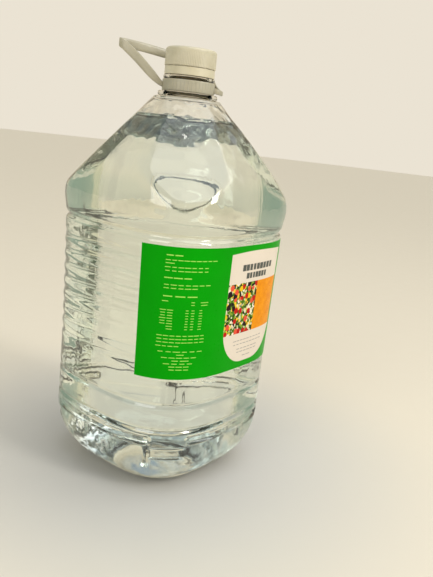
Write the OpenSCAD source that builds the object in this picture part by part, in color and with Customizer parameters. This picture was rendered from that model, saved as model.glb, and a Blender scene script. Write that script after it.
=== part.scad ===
// Vinegar bottle, five litres: a square-shouldered clear plastic bottle with its vinegar,
// wrap-round label, screw cap, tamper band and a carrying handle that turns on the neck.
// Millimetres, +Z up, origin at the centre of the base, front of the label towards -Y.

/* [Body] */
// Half width across the flats at the foot of the label panel
panel_half_low = 75.2; // [70:0.1:92]
// How much further out the panel's head stands than its foot
panel_flare = 1.8; // [0:0.1:3]
// How far the bulge over the label stands out from the panel
bulge_out = 1.7; // [0.5:0.1:6]
// How far the shoulder's flats cut into the body's corners at their foot
flat_cut = 4; // [0:0.1:8]
// Squareness of the body: 2 is round, larger is squarer
squareness = 3; // [2.2:0.1:5]
// Height from the upper of the two low grooves to the label panel
panel_up = 20; // [8:1:40]
// Height of the label panel
panel_h = 101; // [80:1:130]
// Height of the rounded bulge between the panel and the shoulder
bulge_h = 29; // [20:1:40]
// Height of the dome that the shoulder's flats are cut from
dome_h = 64; // [50:1:100]
// Height of the pyramid shoulder
shoulder_h = 64; // [50:1:90]
// Wall thickness of the blown body
wall = 1; // [0.8:0.1:2]

/* [Base] */
// Half width of the ring that the bottle stands on
stand_half = 40; // [30:1:50]
// Width of the flat of that ring
stand_w = 5; // [3:0.5:10]
// Height of the rounded heel
heel_h = 46; // [35:1:56]
// Rise of the middle of the base
push_up = 11; // [5:1:25]
// Depth of the recess above the heel, between the corner blocks
recess_d = 1.8; // [0:0.1:3]
// Half angle of each corner block
block_angle = 12; // [12:1:18]

/* [Grooves] */
// Depth of the groove under the bulge
neck_groove_d = 2.2; // [0.5:0.1:4]
// Depth of the two grooves below the label
low_groove_d = 1.7; // [0.5:0.1:3]
// Height of the lower of those two grooves over the heel
low_groove_up = 9; // [8:1:14]
// Height from that groove to the upper one
low_groove_pitch = 20; // [8:1:30]
// Number of shallow ribs round the label panel
rib_count = 8; // [3:1:9]
// Depth of the hollows between the ribs
rib_d = 0.6; // [0.1:0.1:0.7]

/* [Neck] */
// Radius of the neck's barrel, which the handle turns on
neck_r = 17.6; // [16:0.1:20]
// Thickness of the neck's wall at the mouth
neck_wall = 1.4; // [1.2:0.1:3]
// How far the support flange stands out from the barrel
flange_out = 5.4; // [4:0.1:8]
// Thickness of the support flange
flange_t = 3.6; // [2.5:0.1:5]
// How far the bead that holds the tamper band stands out from the barrel
bead_out = 2.2; // [1:0.1:4]
// Height of that bead
bead_h = 2.8; // [2:0.1:4]
// Height of the neck above the bead
finish_h = 18.9; // [14:0.1:24]

/* [Cap] */
// Thickness of the cap's skirt, from its bore to the crests of its grip ribs
cap_wall = 2.2; // [1.9:0.1:4]
// Depth of the grip ribs
knurl_d = 0.35; // [0.1:0.05:0.5]
// Number of grip ribs
knurl_count = 96; // [48:4:120]
// Rounding of the cap's top edge
cap_round = 2.6; // [1:0.1:3]
// Thickness of the cap's top
cap_top_t = 1.6; // [1.2:0.1:3]
// Height of the tamper band
band_h = 6; // [3:0.1:8]
// Width of the break line between cap and tamper band
break_gap = 0.4; // [0.3:0.1:1]

/* [Handle] */
// Height of the handle's ring
ring_h = 8.6; // [5:0.1:12]
// Thickness of the ring's wall
ring_t = 2.6; // [2.2:0.1:4]
// Thickness of the strap
strap_t = 1.8; // [1.2:0.1:2.2]
// Direction that the strap's loop is turned to, round the neck
handle_turn = -49; // [-180:1:180]

/* [Label] */
// Bare margin of the panel over and under the label
label_margin = 0.8; // [0.5:0.1:20]
// Thickness of the label
label_t = 0.3; // [0.2:0.1:0.6]
// Direction of the label's left edge, counted from +X
label_left = 207.5; // [190:0.5:240]
// Direction of the label's right edge
label_right = 350.5; // [300:0.5:358]
// Rise of the label from its left edge to its right edge
label_rise = 2.4; // [0:0.1:2.6]

/* [Vinegar] */
// Height of the air from the vinegar's surface up to the neck's root
headspace_h = 14.5; // [8:0.5:50]

/* [Hidden] */
$fn = 96;

sides = 32;                 // steps round every lofted section
facet_sharpness = 30;       // how crisp the shoulder's ridges are
fit_gap = 0.3;              // rest gap between separate pieces
turn_gap = 0.1;             // running gap between the handle's ring and the neck
weld = 1;                   // how far one shape reaches into the next within a piece

upper_reach = 3.4;          // half height of the groove under the bulge
finish_step = 0.3;          // how much slimmer the mouth is than the barrel
root_out = 3;               // how far the shoulder stands out from the flange at the neck's root
rib_margin = 6;             // plain panel over and under its ribs

groove_b_z = heel_h + low_groove_up;
groove_a_z = groove_b_z + low_groove_pitch;
panel_z = groove_a_z + panel_up;
panel_top = panel_z + panel_h;
panel_half_high = panel_half_low + panel_flare;
bulge_z = panel_top + 2 * upper_reach + 1.2;
shoulder_z = bulge_z + bulge_h - 3;
root_z = shoulder_z + shoulder_h;
level_z = root_z - headspace_h;
finish_r = neck_r - finish_step;
bore_r = finish_r - neck_wall;
flange_r = neck_r + flange_out;
bead_r = neck_r + bead_out;
flat_low = panel_half_high * square_shape(45) - flat_cut;
flat_high = flange_r + root_out;
flange_z = root_z + 1;
barrel_z = flange_z + flange_t;
bead_z = barrel_z + ring_h + 2 * fit_gap;
finish_z = bead_z + bead_h;
mouth_z = finish_z + finish_h;
band_z = finish_z + fit_gap;
cap_z = band_z + band_h + break_gap;
cap_top = mouth_z + fit_gap + cap_top_t;
cap_bore_r = finish_r + fit_gap;
cap_r = cap_bore_r + cap_wall;
band_r = cap_r - knurl_d - 0.1;
ring_bore_r = neck_r + turn_gap;
ring_r = ring_bore_r + ring_t;
ring_z = barrel_z + fit_gap;
label_h = panel_h - 2 * label_margin - label_rise;

// Outline of one section, as a radius over its half width across the flats
function total(v, i = 0) = i == len(v) ? 0 : v[i] + total(v, i + 1);
function square_shape(a) =
    pow(pow(abs(cos(a)), squareness) + pow(abs(sin(a)), squareness), -1 / squareness);
function facet_shape(a) =
    pow(total([for (k = [0:7]) pow(max(0, cos(a - 45 * k)), facet_sharpness)]), -1 / facet_sharpness);
function mix(a, b, t) = a + (b - a) * t;
function smooth(t) = let(c = min(1, max(0, t))) c * c * (3 - 2 * c);
// 1 on a corner block, 0 between the blocks
function on_block(a) = abs(((a % 90) + 90) % 90 - 45) < block_angle ? 1 : 0;

// Distance from the axis to the shoulder's eight flats, which turn round towards the neck
function flat_at(z) = mix(flat_low, flat_high, (z - shoulder_z) / shoulder_h);
function rounding(z) = smooth(((z - shoulder_z) / shoulder_h - 0.62) * 2.6);

// A station is [height, half width, distance to the flats or 0, recess, inset]
function panel_half(z) = mix(panel_half_low, panel_half_high, (z - panel_z) / panel_h);
function groove(z, half, depth, reach) = [
    for (s = [[-1, 0], [0, 1], [1, 0]]) [z + s[0] * reach, half - s[1] * depth, 0, 0, 0]];
heel_steps = 6;
recess_low = heel_h - 2;
recess_high = heel_h + 3;
function heel_half(z) =
    stand_half + (panel_half_low - stand_half) * sqrt(max(0, 1 - pow(1 - z / heel_h, 2)));
foot = concat(
    [[push_up * 0.8, stand_half * 0.4, 0, 0, 0], [push_up * 0.25, stand_half * 0.72, 0, 0, 0],
     [0, stand_half - stand_w, 0, 0, 0], [0, stand_half, 0, 0, 0]],
    [for (i = [1:heel_steps - 1])
        let(z = recess_low * (1 - cos(90 * i / heel_steps))) [z, heel_half(z), 0, 0, 0]],
    [[recess_low - 2, heel_half(recess_low - 2), 0, 0, 0],
     [recess_low, heel_half(recess_low), 0, recess_d, 0],
     [recess_high, panel_half_low, 0, recess_d, 0],
     [recess_high + 1.5, panel_half_low, 0, 0, 0]]);
groove_reach = 3.2;
lower = concat(groove(groove_b_z, panel_half_low, low_groove_d, groove_reach),
    groove(groove_a_z, panel_half_low, low_groove_d, groove_reach));
ribs_low = panel_z + rib_margin;
rib_pitch = (panel_h - 2 * rib_margin) / rib_count;
panel_plain = [for (z = [panel_z, panel_top - 1]) [z, panel_half(z), 0, 0, 0]];
panel_ribs = concat([panel_plain[0]],
    [for (i = [0:rib_count - 1], s = [[0.25, 0], [0.75, 1]])
        let(z = ribs_low + (i + s[0]) * rib_pitch) [z, panel_half(z) - s[1] * rib_d, 0, 0, 0]],
    [panel_plain[1]]);
upper_groove = groove(panel_top + upper_reach, panel_half_high + 0.2, neck_groove_d, upper_reach);
bulge_mid = bulge_z + 12;
dome_bend = dome_h / 2;
bulge_half = panel_half_high + bulge_out;
dome_slope = bulge_half * 0.5 / sqrt(0.75) / dome_h;
function dome_half(z) = bulge_half * sqrt(1 - pow(min(max(z - bulge_mid, 0), dome_bend) / dome_h, 2))
    - dome_slope * max(0, z - bulge_mid - dome_bend);
bulge = [
    [bulge_z + 3, panel_half_high + bulge_out * 0.5, 0, 0, 0],
    [bulge_z + 8, panel_half_high + bulge_out * 0.9, 0, 0, 0],
    [bulge_mid + 2, dome_half(bulge_mid + 2), 0, 0, 0]];
shoulder = [for (t = [-0.1, -0.03, 0.04, 0.11, 0.19, 0.27, 0.37, 0.5, 0.66, 0.82, 1])
    let(z = shoulder_z + t * shoulder_h) [z, dome_half(z), flat_at(z), 0, 0]];
plain_profile = concat(foot, lower, panel_plain, upper_groove, bulge, shoulder);
ribbed_profile = concat(foot, lower, panel_ribs, upper_groove, bulge, shoulder);

// The same profile moved inwards by a distance: square to its own slope round the heel, and
// level by level above it, so that the surfaces stay one inside the other
function inset_station(p, i, d) = let(
    run = p[min(len(p) - 1, i + 1)] - p[max(0, i - 1)],
    rise = run[0] / norm([run[0], run[1]]),
    out = run[1] / norm([run[0], run[1]]),
    s = p[i])
    s[0] < heel_h / 2 ? [s[0] + d * out, s[1] - d * rise, s[2], s[3], 0]
        : [s[0], s[1], s[2], s[3], d / rise];
function inset_profile(p, d) = [for (i = [0:len(p) - 1]) inset_station(p, i, d)];

// Points of one station's section
function ring_points(s) = [for (k = [0:sides - 1]) let(
    a = 360 * k / sides,
    body = s[1] * square_shape(a),
    outline = s[2] == 0 ? body : min(body, s[2] * mix(facet_shape(a), 1, rounding(s[0]))),
    r = outline - s[3] * (1 - on_block(a)) - s[4])
    [r * cos(a), r * sin(a), s[0]]];
// Closed loft through stations, from a point on the axis at z_first to one at z_last
module loft(stations, z_first, z_last) {
    rows = len(stations);
    points = concat([[0, 0, z_first]], [for (s = stations) each ring_points(s)], [[0, 0, z_last]]);
    last = rows * sides + 1;
    function at(row, k) = 1 + row * sides + k % sides;
    // the diagonals run one way on rising rows and the other on falling ones, so that the
    // inside and outside of a wall are split alike
    function rising(row) = stations[row + 1][0] >= stations[row][0];
    faces = concat(
        [for (k = [0:sides - 1]) [0, at(0, k), at(0, k + 1)]],
        [for (row = [0:rows - 2], k = [0:sides - 1], half = [0, 1])
            let(a = at(row, k), b = at(row + 1, k), c = at(row + 1, k + 1), d = at(row, k + 1))
            rising(row) ? (half == 0 ? [a, b, c] : [a, c, d]) : (half == 0 ? [a, b, d] : [b, c, d])],
        [for (k = [0:sides - 1]) [last, at(rows - 1, k + 1), at(rows - 1, k)]]);
    polyhedron(points = points, faces = faces, convexity = 8);
}
function reversed(v) = [for (i = [len(v) - 1:-1:0]) v[i]];

module bottle_body() {
    inner = inset_profile(plain_profile, wall);
    outer_top = [flange_z + weld, flat_high, flange_r - 1, 0, 0];
    inner_top = [flange_z + weld, flat_high, flange_r - 1 - 2 * wall, 0, 0];
    loft(concat(ribbed_profile, [outer_top, inner_top], reversed(inner)), push_up, push_up + wall);
}
module neck_profile() {
    edge = 0.8;
    polygon([
        [bore_r, flange_z], [flange_r - edge, flange_z], [flange_r, flange_z + edge],
        [flange_r, barrel_z - edge], [flange_r - edge, barrel_z], [neck_r, barrel_z],
        [neck_r, bead_z], [bead_r - edge, bead_z], [bead_r, bead_z + edge],
        [bead_r, finish_z - edge], [bead_r - edge, finish_z], [finish_r, finish_z],
        [finish_r, mouth_z], [bore_r, mouth_z]]);
}
module bottle() {
    color([0.84, 0.90, 0.88, 0.45]) {
        bottle_body();
        rotate_extrude() neck_profile();
    }
}

module vinegar() {
    inside = inset_profile(plain_profile, wall + fit_gap);
    below = [for (s = inside) if (s[0] < level_z - 1) s];
    above = [for (s = inside) if (s[0] >= level_z - 1) s][0];
    under = below[len(below) - 1];
    t = (level_z - under[0]) / (above[0] - under[0]);
    surface = under + (above - under) * t;
    color([0.78, 0.83, 0.76, 0.8])
        loft(concat(below, [surface]), push_up + wall + fit_gap, level_z);
}

module label() {
    z_low = panel_z + label_margin;
    step = 360 / sides;
    directions = concat([label_left],
        [for (k = [floor(label_left / step) + 1:ceil(label_right / step) - 1]) k * step], [label_right]);
    // the label lies flat on the outline's sides, so its ends are points of a side
    function corner(k, half) = half * square_shape(k * step) * [cos(k * step), sin(k * step)];
    function crossed(u, v) = u[0] * v[1] - u[1] * v[0];
    function reach(a, half) = let(
        k = floor(a / step),
        near = corner(k, half),
        side = corner(k + 1, half) - near)
        crossed(near, side) / crossed([cos(a), sin(a)], side);
    function spot(a, top, out) = let(
        z = z_low + label_rise * (a - label_left) / (label_right - label_left) + (top ? label_h : 0),
        r = reach(a, panel_half(z) + fit_gap + out))
        [r * cos(a), r * sin(a), z];
    points = [for (a = directions)
        each [spot(a, false, 0), spot(a, false, label_t), spot(a, true, label_t), spot(a, true, 0)]];
    columns = len(directions) - 1;
    end = 4 * columns;
    faces = concat(
        [[0, 1, 2, 3], [end + 3, end + 2, end + 1, end]],
        [for (i = [0:columns - 1], k = [0:3], half = [0, 1]) let(
            a = 4 * i + k,
            b = 4 * i + (k + 1) % 4)
            half == 0 ? [a, a + 4, b + 4] : [a, b + 4, b]]);
    color([0.10, 0.62, 0.12]) polyhedron(points = points, faces = faces, convexity = 4);
}

module cap() {
    skirt_top = cap_top - cap_round;
    root_r = cap_r - knurl_d;
    core_r = root_r - 0.05;
    module knurl_outline() {
        polygon([for (k = [0:2 * knurl_count - 1]) let(
            a = 180 * k / knurl_count,
            r = k % 2 == 0 ? cap_r : root_r)
            [r * cos(a), r * sin(a)]]);
    }
    module shell_outline() {
        inner_top = mouth_z + fit_gap;
        polygon(concat(
            [[cap_bore_r, cap_z], [core_r, cap_z], [core_r, skirt_top]],
            [for (a = [15:15:75])
                [core_r - cap_round * (1 - cos(a)), skirt_top + cap_round * sin(a)]],
            [[core_r - cap_round, cap_top], [0, cap_top], [0, inner_top], [cap_bore_r, inner_top]]));
    }
    color([0.93, 0.92, 0.87]) {
        rotate_extrude() shell_outline();
        difference() {
            translate([0, 0, cap_z + 1]) linear_extrude(skirt_top - cap_z - 1) knurl_outline();
            translate([0, 0, cap_z]) cylinder(h = skirt_top - cap_z + 1, r = root_r - 0.4);
        }
    }
}

module tamper_band() {
    color([0.92, 0.91, 0.85]) translate([0, 0, band_z]) difference() {
        cylinder(h = band_h, r = band_r);
        translate([0, 0, -1]) cylinder(h = band_h + 2, r = cap_bore_r);
    }
}

// The strap's middle line as [x, y, z over the ring's foot, width]: from the near side of the
// ring out to the fold, back behind the cap and down to the ring's other side. It is drawn for
// a ring of path_r to the middle of its wall, and follows the ring that there is
path_r = 19;
path_scale = (ring_bore_r + ring_r) / 2 / path_r;
strap_path = [
    [-18.7, -3.4, 3.8, 3.6], [-22.5, -4.6, 5.6, 4.4], [-29, -5, 11, 5.6], [-40, -4.4, 21, 6],
    [-49.5, -3.6, 28.4, 6.4], [-53.6, -1.6, 31, 6.6], [-54, 1.4, 31.4, 6.8], [-50.4, 4.2, 31.4, 7],
    [-38, 9, 30.4, 7], [-25, 16, 29, 7], [-13, 21.6, 27.2, 6.8], [-2, 24, 24.4, 6.4],
    [8.5, 22.8, 19.6, 6], [17.2, 17.6, 12, 5.2], [22, 11.2, 5.6, 4.4], [25.4, 5, 2.8, 3.8],
    [26, 0.6, 2.4, 3.6], [23, -2.6, 3, 4], [18.5, -3.2, 3.8, 4.4]];
strap_steps = 3;
function spline(p, i, t) = let(
    a = p[max(0, i - 1)], b = p[i], c = p[i + 1], d = p[min(len(p) - 1, i + 2)])
    0.5 * (2 * b + (c - a) * t + (2 * a - 5 * b + 4 * c - d) * t * t
        + (3 * b - a - 3 * c + d) * t * t * t);
strap_line = concat(
    [for (i = [0:len(strap_path) - 2], s = [0:strap_steps - 1]) spline(strap_path, i, s / strap_steps)],
    [strap_path[len(strap_path) - 1]]);
module strap() {
    count = len(strap_line);
    corners = [[1, 0.55], [0.6, 1], [-0.6, 1], [-1, 0.55], [-1, -0.55], [-0.6, -1], [0.6, -1], [1, -0.55]];
    n = len(corners);
    function place(i) = let(p = strap_line[i]) [p[0] * path_scale, p[1] * path_scale, p[2]];
    function section_at(i) = let(
        run = place(min(count - 1, i + 1)) - place(max(0, i - 1)),
        along = run / norm(run),
        flat = cross(along, [0, 0, 1]),
        thick = flat / norm(flat),
        wide = cross(thick, along))
        [for (c = corners) place(i) + thick * c[0] * strap_t / 2 + wide * c[1] * strap_line[i][3] / 2];
    points = [for (i = [0:count - 1]) each section_at(i)];
    faces = concat(
        [[for (k = [n - 1:-1:0]) k], [for (k = [0:n - 1]) (count - 1) * n + k]],
        [for (i = [0:count - 2], k = [0:n - 1], half = [0, 1]) let(
            a = i * n + k,
            b = i * n + (k + 1) % n)
            half == 0 ? [a, b, b + n] : [a, b + n, a + n]]);
    polyhedron(points = points, faces = faces, convexity = 8);
}
module handle() {
    color([0.90, 0.89, 0.83]) translate([0, 0, ring_z]) {
        difference() {
            cylinder(h = ring_h, r = ring_r);
            translate([0, 0, -1]) cylinder(h = ring_h + 2, r = ring_bore_r);
        }
        rotate([0, 0, handle_turn]) strap();
    }
}

bottle();
vinegar();
label();
cap();
tamper_band();
handle();
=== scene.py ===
import bpy
import math
import numpy as np
from mathutils import Matrix, Vector


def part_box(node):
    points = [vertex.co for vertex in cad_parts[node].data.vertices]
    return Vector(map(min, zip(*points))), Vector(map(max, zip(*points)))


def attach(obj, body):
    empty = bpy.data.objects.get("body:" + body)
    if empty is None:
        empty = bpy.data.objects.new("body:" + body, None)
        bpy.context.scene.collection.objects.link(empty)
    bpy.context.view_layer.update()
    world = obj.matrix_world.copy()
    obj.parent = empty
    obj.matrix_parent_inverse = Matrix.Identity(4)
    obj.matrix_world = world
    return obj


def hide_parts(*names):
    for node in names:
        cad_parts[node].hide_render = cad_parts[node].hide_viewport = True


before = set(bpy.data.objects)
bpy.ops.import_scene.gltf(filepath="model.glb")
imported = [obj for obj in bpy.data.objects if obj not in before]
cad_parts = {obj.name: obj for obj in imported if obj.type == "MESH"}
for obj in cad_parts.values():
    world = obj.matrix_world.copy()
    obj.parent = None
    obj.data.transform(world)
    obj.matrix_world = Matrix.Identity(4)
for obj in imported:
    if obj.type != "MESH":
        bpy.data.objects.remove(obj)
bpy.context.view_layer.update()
scene = bpy.context.scene
scene.view_settings.view_transform = "Standard"
mm = 0.001


# small helpers
def makeObject(name, points, faces, materials, uvs=None, sharp=None, faceSlots=None):
    mesh = bpy.data.meshes.new(name)
    mesh.from_pydata([tuple(p) for p in points], [], faces)
    for material in materials:
        mesh.materials.append(material)
    mesh.polygons.foreach_set("use_smooth", [True] * len(mesh.polygons))
    if faceSlots is not None:
        mesh.polygons.foreach_set("material_index", faceSlots)
    if uvs is not None:
        layer = mesh.uv_layers.new(name="print")
        corner = np.zeros(len(mesh.loops), int)
        mesh.loops.foreach_get("vertex_index", corner)
        layer.data.foreach_set("uv", np.asarray(uvs, float)[corner].ravel())
    if sharp:
        mesh.set_sharp_from_angle(angle=math.radians(sharp))
    mesh.validate()
    mesh.update()
    obj = bpy.data.objects.new(name, mesh)
    scene.collection.objects.link(obj)
    return obj


def tubeFaces(rows, sides, start=0, closed=False):
    # quads between rings of points, outwards if the rings rise
    row = np.arange(rows if closed else rows - 1)[:, None]
    side = np.arange(sides)[None, :]
    a = start + row * sides + side
    b = start + row * sides + (side + 1) % sides
    up = start + (row + 1) % rows * sides
    return np.stack([a, b, up + (side + 1) % sides, up + side], -1).reshape(-1, 4).tolist()


def closedLoft(rings, firstZ, lastZ):
    # rings of points from one pole to the other
    rows, sides = rings.shape[:2]
    points = np.concatenate([[[0, 0, firstZ]], rings.reshape(-1, 3), [[0, 0, lastZ]]])
    faces = tubeFaces(rows, sides, 1)
    side = np.arange(sides)
    last = 1 + (rows - 1) * sides
    faces += [[0, 1 + (k + 1) % sides, 1 + k] for k in side.tolist()]
    faces += [[last + k, last + (k + 1) % sides, len(points) - 1] for k in side.tolist()]
    return points, faces


def lathe(profile, sides):
    # a closed outline of (radius, height) pairs turned round the axis
    profile = np.asarray(profile, float)
    angle = np.linspace(0, 2 * math.pi, sides, endpoint=False)
    rings = np.stack(
        [
            profile[:, :1] * np.cos(angle),
            profile[:, :1] * np.sin(angle),
            np.repeat(profile[:, 1:], sides, 1),
        ],
        -1,
    )
    return rings.reshape(-1, 3), tubeFaces(len(profile), sides, 0, closed=True)


def roundCorners(outline, radius, steps=4):
    # rounds each corner of a closed outline by no more than its shorter side allows
    outline = [np.array(p, float) for p in outline]
    made = []
    for i, corner in enumerate(outline):
        before, after = outline[i - 1] - corner, outline[(i + 1) % len(outline)] - corner
        reach = min(radius, 0.45 * np.linalg.norm(before), 0.45 * np.linalg.norm(after))
        start = corner + before / np.linalg.norm(before) * reach
        end = corner + after / np.linalg.norm(after) * reach
        for step in range(steps + 1):
            t = step / steps
            made.append((1 - t) ** 2 * start + 2 * t * (1 - t) * corner + t * t * end)
    return made


def smoothStep(t):
    t = np.clip(t, 0, 1)
    return t * t * (3 - 2 * t)


# shader maths
class Wire:
    # one socket of a node tree, so that shader maths reads as plain expressions
    def __init__(self, tree, socket=None):
        self.tree, self.socket = tree, socket

    def add(self, kind, settings=None, values=None, output=0):
        node = self.tree.nodes.new(kind)
        for key, value in (settings or {}).items():
            if key == "stops":
                ramp = node.color_ramp
                while len(ramp.elements) < len(value):
                    ramp.elements.new(1)
                for element, (place, colour) in zip(ramp.elements, value):
                    element.position, element.color = place, (*colour, 1)
            elif key == "interpolation":
                node.color_ramp.interpolation = value
            else:
                setattr(node, key, value)
        for key, value in (values or {}).items():
            if isinstance(value, Wire):
                self.tree.links.new(value.socket, node.inputs[key])
            elif value is not None:
                node.inputs[key].default_value = value
        return Wire(self.tree, node.outputs[output])

    def maths(self, operation, first, second=None):
        return self.add("ShaderNodeMath", {"operation": operation}, {0: first, 1: second})

    def __add__(self, other):
        return self.maths("ADD", self, other)

    __radd__ = __add__

    def __sub__(self, other):
        return self.maths("SUBTRACT", self, other)

    def __rsub__(self, other):
        return self.maths("SUBTRACT", other, self)

    def __mul__(self, other):
        return self.maths("MULTIPLY", self, other)

    __rmul__ = __mul__

    def __truediv__(self, other):
        return self.maths("DIVIDE", self, other)

    def __rtruediv__(self, other):
        return self.maths("DIVIDE", other, self)

    def __pow__(self, other):
        return self.maths("POWER", self, other)

    def __abs__(self):
        return self.maths("ABSOLUTE", self)

    def ramp(self, low, high, first=0, last=1):
        # eased from one value to the other between low and high
        return self.add(
            "ShaderNodeMapRange",
            {"interpolation_type": "SMOOTHSTEP"},
            {"Value": self, "From Min": low, "From Max": high, "To Min": first, "To Max": last},
        )

    def between(self, low, high, soft):
        return self.ramp(low - soft, low + soft) * self.ramp(high - soft, high + soft, 1, 0)

    def blend(self, first, second):
        # colours, by this factor
        first, second = [c if isinstance(c, Wire) else (*c, 1) for c in (first, second)]
        return self.add(
            "ShaderNodeMix", {"data_type": "RGBA"}, {0: self, 6: first, 7: second}, 2
        )

    def noise(self, place, scale, detail=2, roughness=0.5, distortion=0):
        return self.add(
            "ShaderNodeTexNoise",
            {},
            {
                "Vector": place,
                "Scale": scale,
                "Detail": detail,
                "Roughness": roughness,
                "Distortion": distortion,
            },
        )

    def bump(self, height, strength, distance):
        return self.add(
            "ShaderNodeBump", {}, {"Strength": strength, "Distance": distance, "Height": height}
        )


def newMaterial(name, constants, varying):
    # constants go straight on the shader's sockets; varying is given the start of the tree
    # and returns what changes over the surface
    material = bpy.data.materials.new(name)
    material.use_nodes = True
    tree = material.node_tree
    tree.nodes.clear()
    out = tree.nodes.new("ShaderNodeOutputMaterial")
    shader = tree.nodes.new("ShaderNodeBsdfPrincipled")
    tree.links.new(shader.outputs[0], out.inputs["Surface"])
    for key, value in constants.items():
        shader.inputs[key].default_value = value
    for key, wire in varying(Wire(tree)).items():
        tree.links.new(wire.socket, shader.inputs[key])
    return material


def sRGB(red, green, blue):
    # screen colour as the shader's own
    return tuple(
        c / 12.92 if c <= 0.04045 else ((c + 0.055) / 1.055) ** 2.4
        for c in (red / 255, green / 255, blue / 255)
    )


# geometry nodes
def newTree(name, sockets):
    tree = bpy.data.node_groups.new(name, "GeometryNodeTree")
    tree.interface.new_socket("Geometry", in_out="OUTPUT", socket_type="NodeSocketGeometry")
    for socket, kind, value in sockets:
        made = tree.interface.new_socket(socket, in_out="INPUT", socket_type="NodeSocket" + kind)
        if value is not None:
            made.default_value = value
    start = tree.nodes.new("NodeGroupInput")
    return tree, {s[0]: Wire(tree, start.outputs[s[0]]) for s in sockets}


def endTree(tree, geometry, material):
    # every tree ends in real geometry with its finish on
    solid = geometry.add("GeometryNodeRealizeInstances", {}, {0: geometry})
    coated = solid.add("GeometryNodeSetMaterial", {}, {"Geometry": solid, "Material": material})
    out = tree.nodes.new("NodeGroupOutput")
    tree.links.new(coated.socket, out.inputs[0])


def applyTree(obj, tree, values):
    modifier = obj.modifiers.new("repeat", "NODES")
    modifier.node_group = tree
    for item in tree.interface.items_tree:
        if item.item_type == "SOCKET" and item.in_out == "INPUT" and item.name in values:
            modifier[item.identifier] = values[item.name]
    graph = bpy.context.evaluated_depsgraph_get()
    mesh = bpy.data.meshes.new_from_object(
        obj.evaluated_get(graph), preserve_all_data_layers=True, depsgraph=graph
    )
    obj.modifiers.remove(modifier)
    obj.data = mesh
    return obj


def ribTree():
    # upright ribs set round a ring
    tree, given = newTree(
        "ribsRoundRing",
        [
            ("Geometry", "Geometry", None),
            ("Count", "Int", 60),
            ("Radius", "Float", 0.02),
            ("Rib depth", "Float", 0.0003),
            ("Rib width", "Float", 0.0008),
            ("Rib height", "Float", 0.01),
            ("Rib top", "Float", 0.6),
            ("Middle", "Float", 0.3),
            ("Material", "Material", None),
        ],
    )
    start = Wire(tree)
    ring = start.add(
        "GeometryNodeMeshCircle", {}, {"Vertices": given["Count"], "Radius": given["Radius"]}
    )
    rib = start.add(
        "GeometryNodeMeshCone",
        {},
        {"Vertices": 12, "Radius Top": given["Rib top"], "Radius Bottom": 1.0, "Depth": 1.0},
    )
    size = start.add(
        "ShaderNodeCombineXYZ",
        {},
        {"X": given["Rib depth"], "Y": given["Rib width"] * 0.5, "Z": given["Rib height"]},
    )
    centred = start.add(
        "GeometryNodeTransform", {}, {"Geometry": rib, "Translation": (0, 0, -0.5)}
    )
    sized = start.add("GeometryNodeTransform", {}, {"Geometry": centred, "Scale": size})
    place = start.add("GeometryNodeInputPosition")
    turn = start.add("FunctionNodeAlignRotationToVector", {"axis": "X"}, {"Vector": place})
    ribs = start.add(
        "GeometryNodeInstanceOnPoints", {}, {"Points": ring, "Instance": sized, "Rotation": turn}
    )
    lift = start.add("ShaderNodeCombineXYZ", {}, {"Z": given["Middle"]})
    lifted = start.add("GeometryNodeTransform", {}, {"Geometry": ribs, "Translation": lift})
    both = start.add("GeometryNodeJoinGeometry", {}, {"Geometry": lifted})
    tree.links.new(given["Geometry"].socket, both.socket.node.inputs[0])
    endTree(tree, both, given["Material"])
    return tree


def printTree():
    # rows of short printed bars, ragged like words
    tree, given = newTree(
        "printedRows",
        [
            ("Geometry", "Geometry", None),
            ("Rows", "Int", 4),
            ("Pitch", "Float", 0.003),
            ("Length", "Float", 0.03),
            ("Bars", "Int", 6),
            ("Bar height", "Float", 0.001),
            ("Missing", "Float", 0.1),
            ("Seed", "Int", 1),
            ("Material", "Material", None),
        ],
    )
    start = Wire(tree)
    step = given["Length"] / given["Bars"]
    down = start.add("ShaderNodeCombineXYZ", {}, {"Y": 0 - given["Pitch"]})
    along = start.add("ShaderNodeCombineXYZ", {}, {"X": step})
    line = {"mode": "OFFSET"}
    column = start.add(
        "GeometryNodeMeshLine", line, {"Count": given["Rows"], "Offset": down}
    )
    row = start.add("GeometryNodeMeshLine", line, {"Count": given["Bars"], "Offset": along})
    rows = start.add("GeometryNodeInstanceOnPoints", {}, {"Points": column, "Instance": row})
    spots = start.add("GeometryNodeRealizeInstances", {}, {0: rows})
    chance = start.add(
        "FunctionNodeRandomValue", {"data_type": "FLOAT"}, {2: 0.0, 3: 1.0, "Seed": given["Seed"]}, 1
    )
    kept = start.add(
        "FunctionNodeCompare", {"data_type": "FLOAT"}, {0: chance, 1: given["Missing"]}
    )
    width = start.add(
        "FunctionNodeRandomValue",
        {"data_type": "FLOAT"},
        {2: 0.62, 3: 0.93, "Seed": given["Seed"] + 7},
        1,
    )
    size = start.add(
        "ShaderNodeCombineXYZ", {}, {"X": step * width, "Y": given["Bar height"], "Z": 1.0}
    )
    bar = start.add("GeometryNodeMeshGrid", {}, {"Vertices X": 3, "Vertices Y": 2})
    bars = start.add(
        "GeometryNodeInstanceOnPoints",
        {},
        {"Points": spots, "Selection": kept, "Instance": bar, "Scale": size},
    )
    endTree(tree, bars, given["Material"])
    return tree


# body of the bottle
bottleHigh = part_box("bottle")[1]
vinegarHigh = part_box("vinegar")[1]
labelLow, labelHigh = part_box("label")
capLow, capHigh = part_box("cap")
bandLow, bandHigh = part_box("tamper_band")
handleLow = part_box("handle")[0]

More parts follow.
